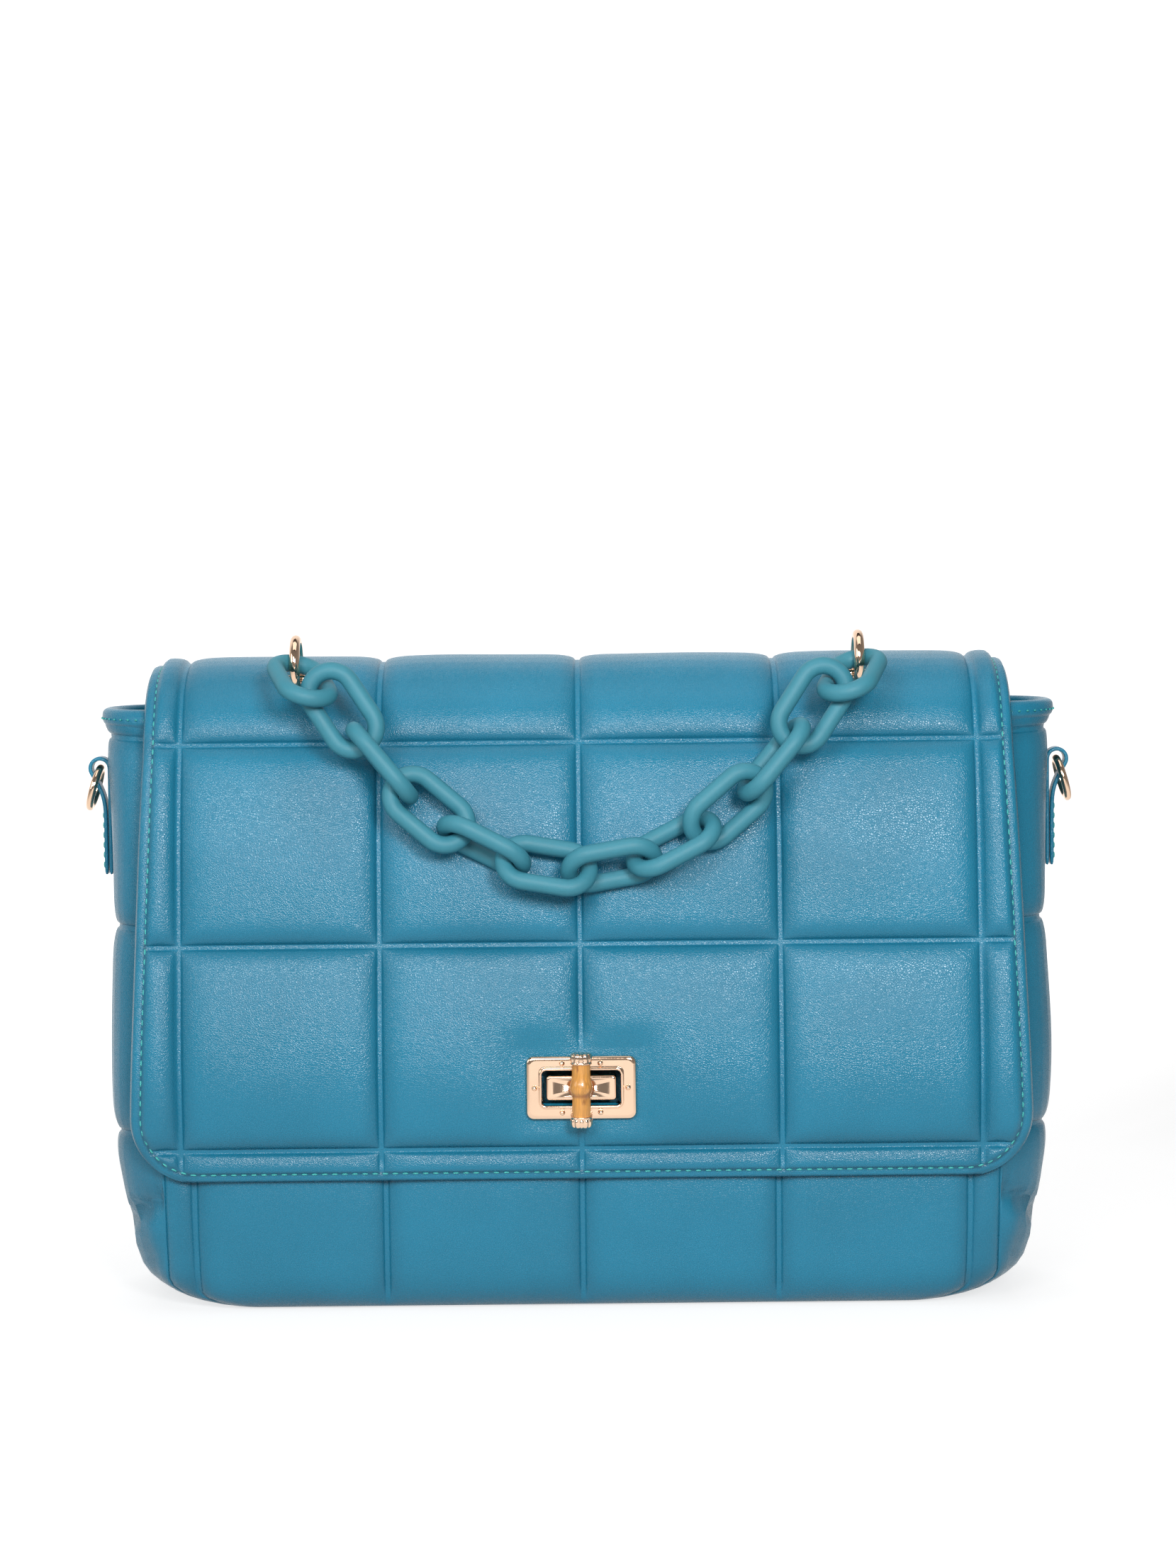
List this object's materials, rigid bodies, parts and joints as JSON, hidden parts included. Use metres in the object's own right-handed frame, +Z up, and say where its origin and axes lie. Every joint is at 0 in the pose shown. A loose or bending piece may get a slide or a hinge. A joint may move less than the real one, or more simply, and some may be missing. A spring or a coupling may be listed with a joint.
{
  "type": "chain shoulder bag",
  "caption": "Quilted flap bag with a chain-link top handle, a quarter-turn lock with a bamboo bar and a strap ring on each side.",
  "frame": {"origin": "middle of the base, on the surface the bag stands on", "axes": "+X along the bag to its right, -Y is the front with the lock, +Z up"},
  "size_m": [0.3646, 0.1283, 0.2428],
  "materials": {
    "leather": "soft grained, semi-matte",
    "lining": "woven",
    "board": "matte",
    "chain": "matte",
    "gold": "polished rose gold plating",
    "bamboo": "varnished"
  },
  "bodies": {
    "body": {"front_panel": "leather", "back_panel": "leather", "gusset_left": "leather", "gusset_right": "leather", "base_panel": "leather", "base_board": "board", "lining": "lining", "rim_facing": "leather", "flap_back_hem": "leather", "tab_left": "leather", "tab_right": "leather", "lock_base": "gold", "lock_backplate": "gold", "lock_spring": "gold"},
    "flap": {"flap_outer": "leather", "flap_lining": "lining", "lock_frame": "gold", "lock_frame_backplate": "gold", "lock_rivets": "gold", "bridge_left": "gold", "bridge_right": "gold", "bridge_washers": "gold"},
    "knob": {"knob_post": "gold", "knob_bamboo": "bamboo", "knob_cap_top": "gold", "knob_cap_bottom": "gold"},
    "handle": {"chain_link_01": "chain", "chain_link_02": "chain", "chain_link_03": "chain", "chain_link_04": "chain", "chain_link_05": "chain", "chain_link_06": "chain", "chain_link_07": "chain", "chain_link_08": "chain", "chain_link_09": "chain", "chain_link_10": "chain", "chain_link_11": "chain", "chain_link_12": "chain"},
    "ring_left": {"ring_left": "gold"},
    "ring_right": {"ring_right": "gold"},
    "strap_ring_left": {"strap_ring_left": "gold"},
    "strap_ring_right": {"strap_ring_right": "gold"}
  },
  "joints": [
    {"name": "flap_hinge", "type": "hinge", "parent": "body", "child": "flap", "pos_m": [0, 0.0397, 0.206], "axis": [-1, 0, 0], "range_deg": [0, 180]},
    {"name": "lock_turn", "type": "hinge", "parent": "body", "child": "knob", "pos_m": [0, -0.0683, 0.082], "axis": [0, 1, 0], "range_deg": [0, 90]},
    {"name": "handle_swing", "type": "hinge", "parent": "flap", "child": "handle", "pos_m": [0, -0.03469, 0.23233], "axis": [-1, 0, 0], "range_deg": [0, 170]},
    {"name": "ring_left_turn", "type": "hinge", "parent": "flap", "child": "ring_left", "pos_m": [-0.101, -0.03469, 0.23233], "axis": [1, 0, 0], "continuous": true},
    {"name": "ring_right_turn", "type": "hinge", "parent": "flap", "child": "ring_right", "pos_m": [0.101, -0.03469, 0.23233], "axis": [1, 0, 0], "continuous": true},
    {"name": "strap_ring_left_swing", "type": "hinge", "parent": "body", "child": "strap_ring_left", "pos_m": [-0.1768, 0, 0.1936], "axis": [0, 1, 0], "range_deg": [0, 100]},
    {"name": "strap_ring_right_swing", "type": "hinge", "parent": "body", "child": "strap_ring_right", "pos_m": [0.1768, 0, 0.1936], "axis": [0, -1, 0], "range_deg": [0, 100]}
  ]
}
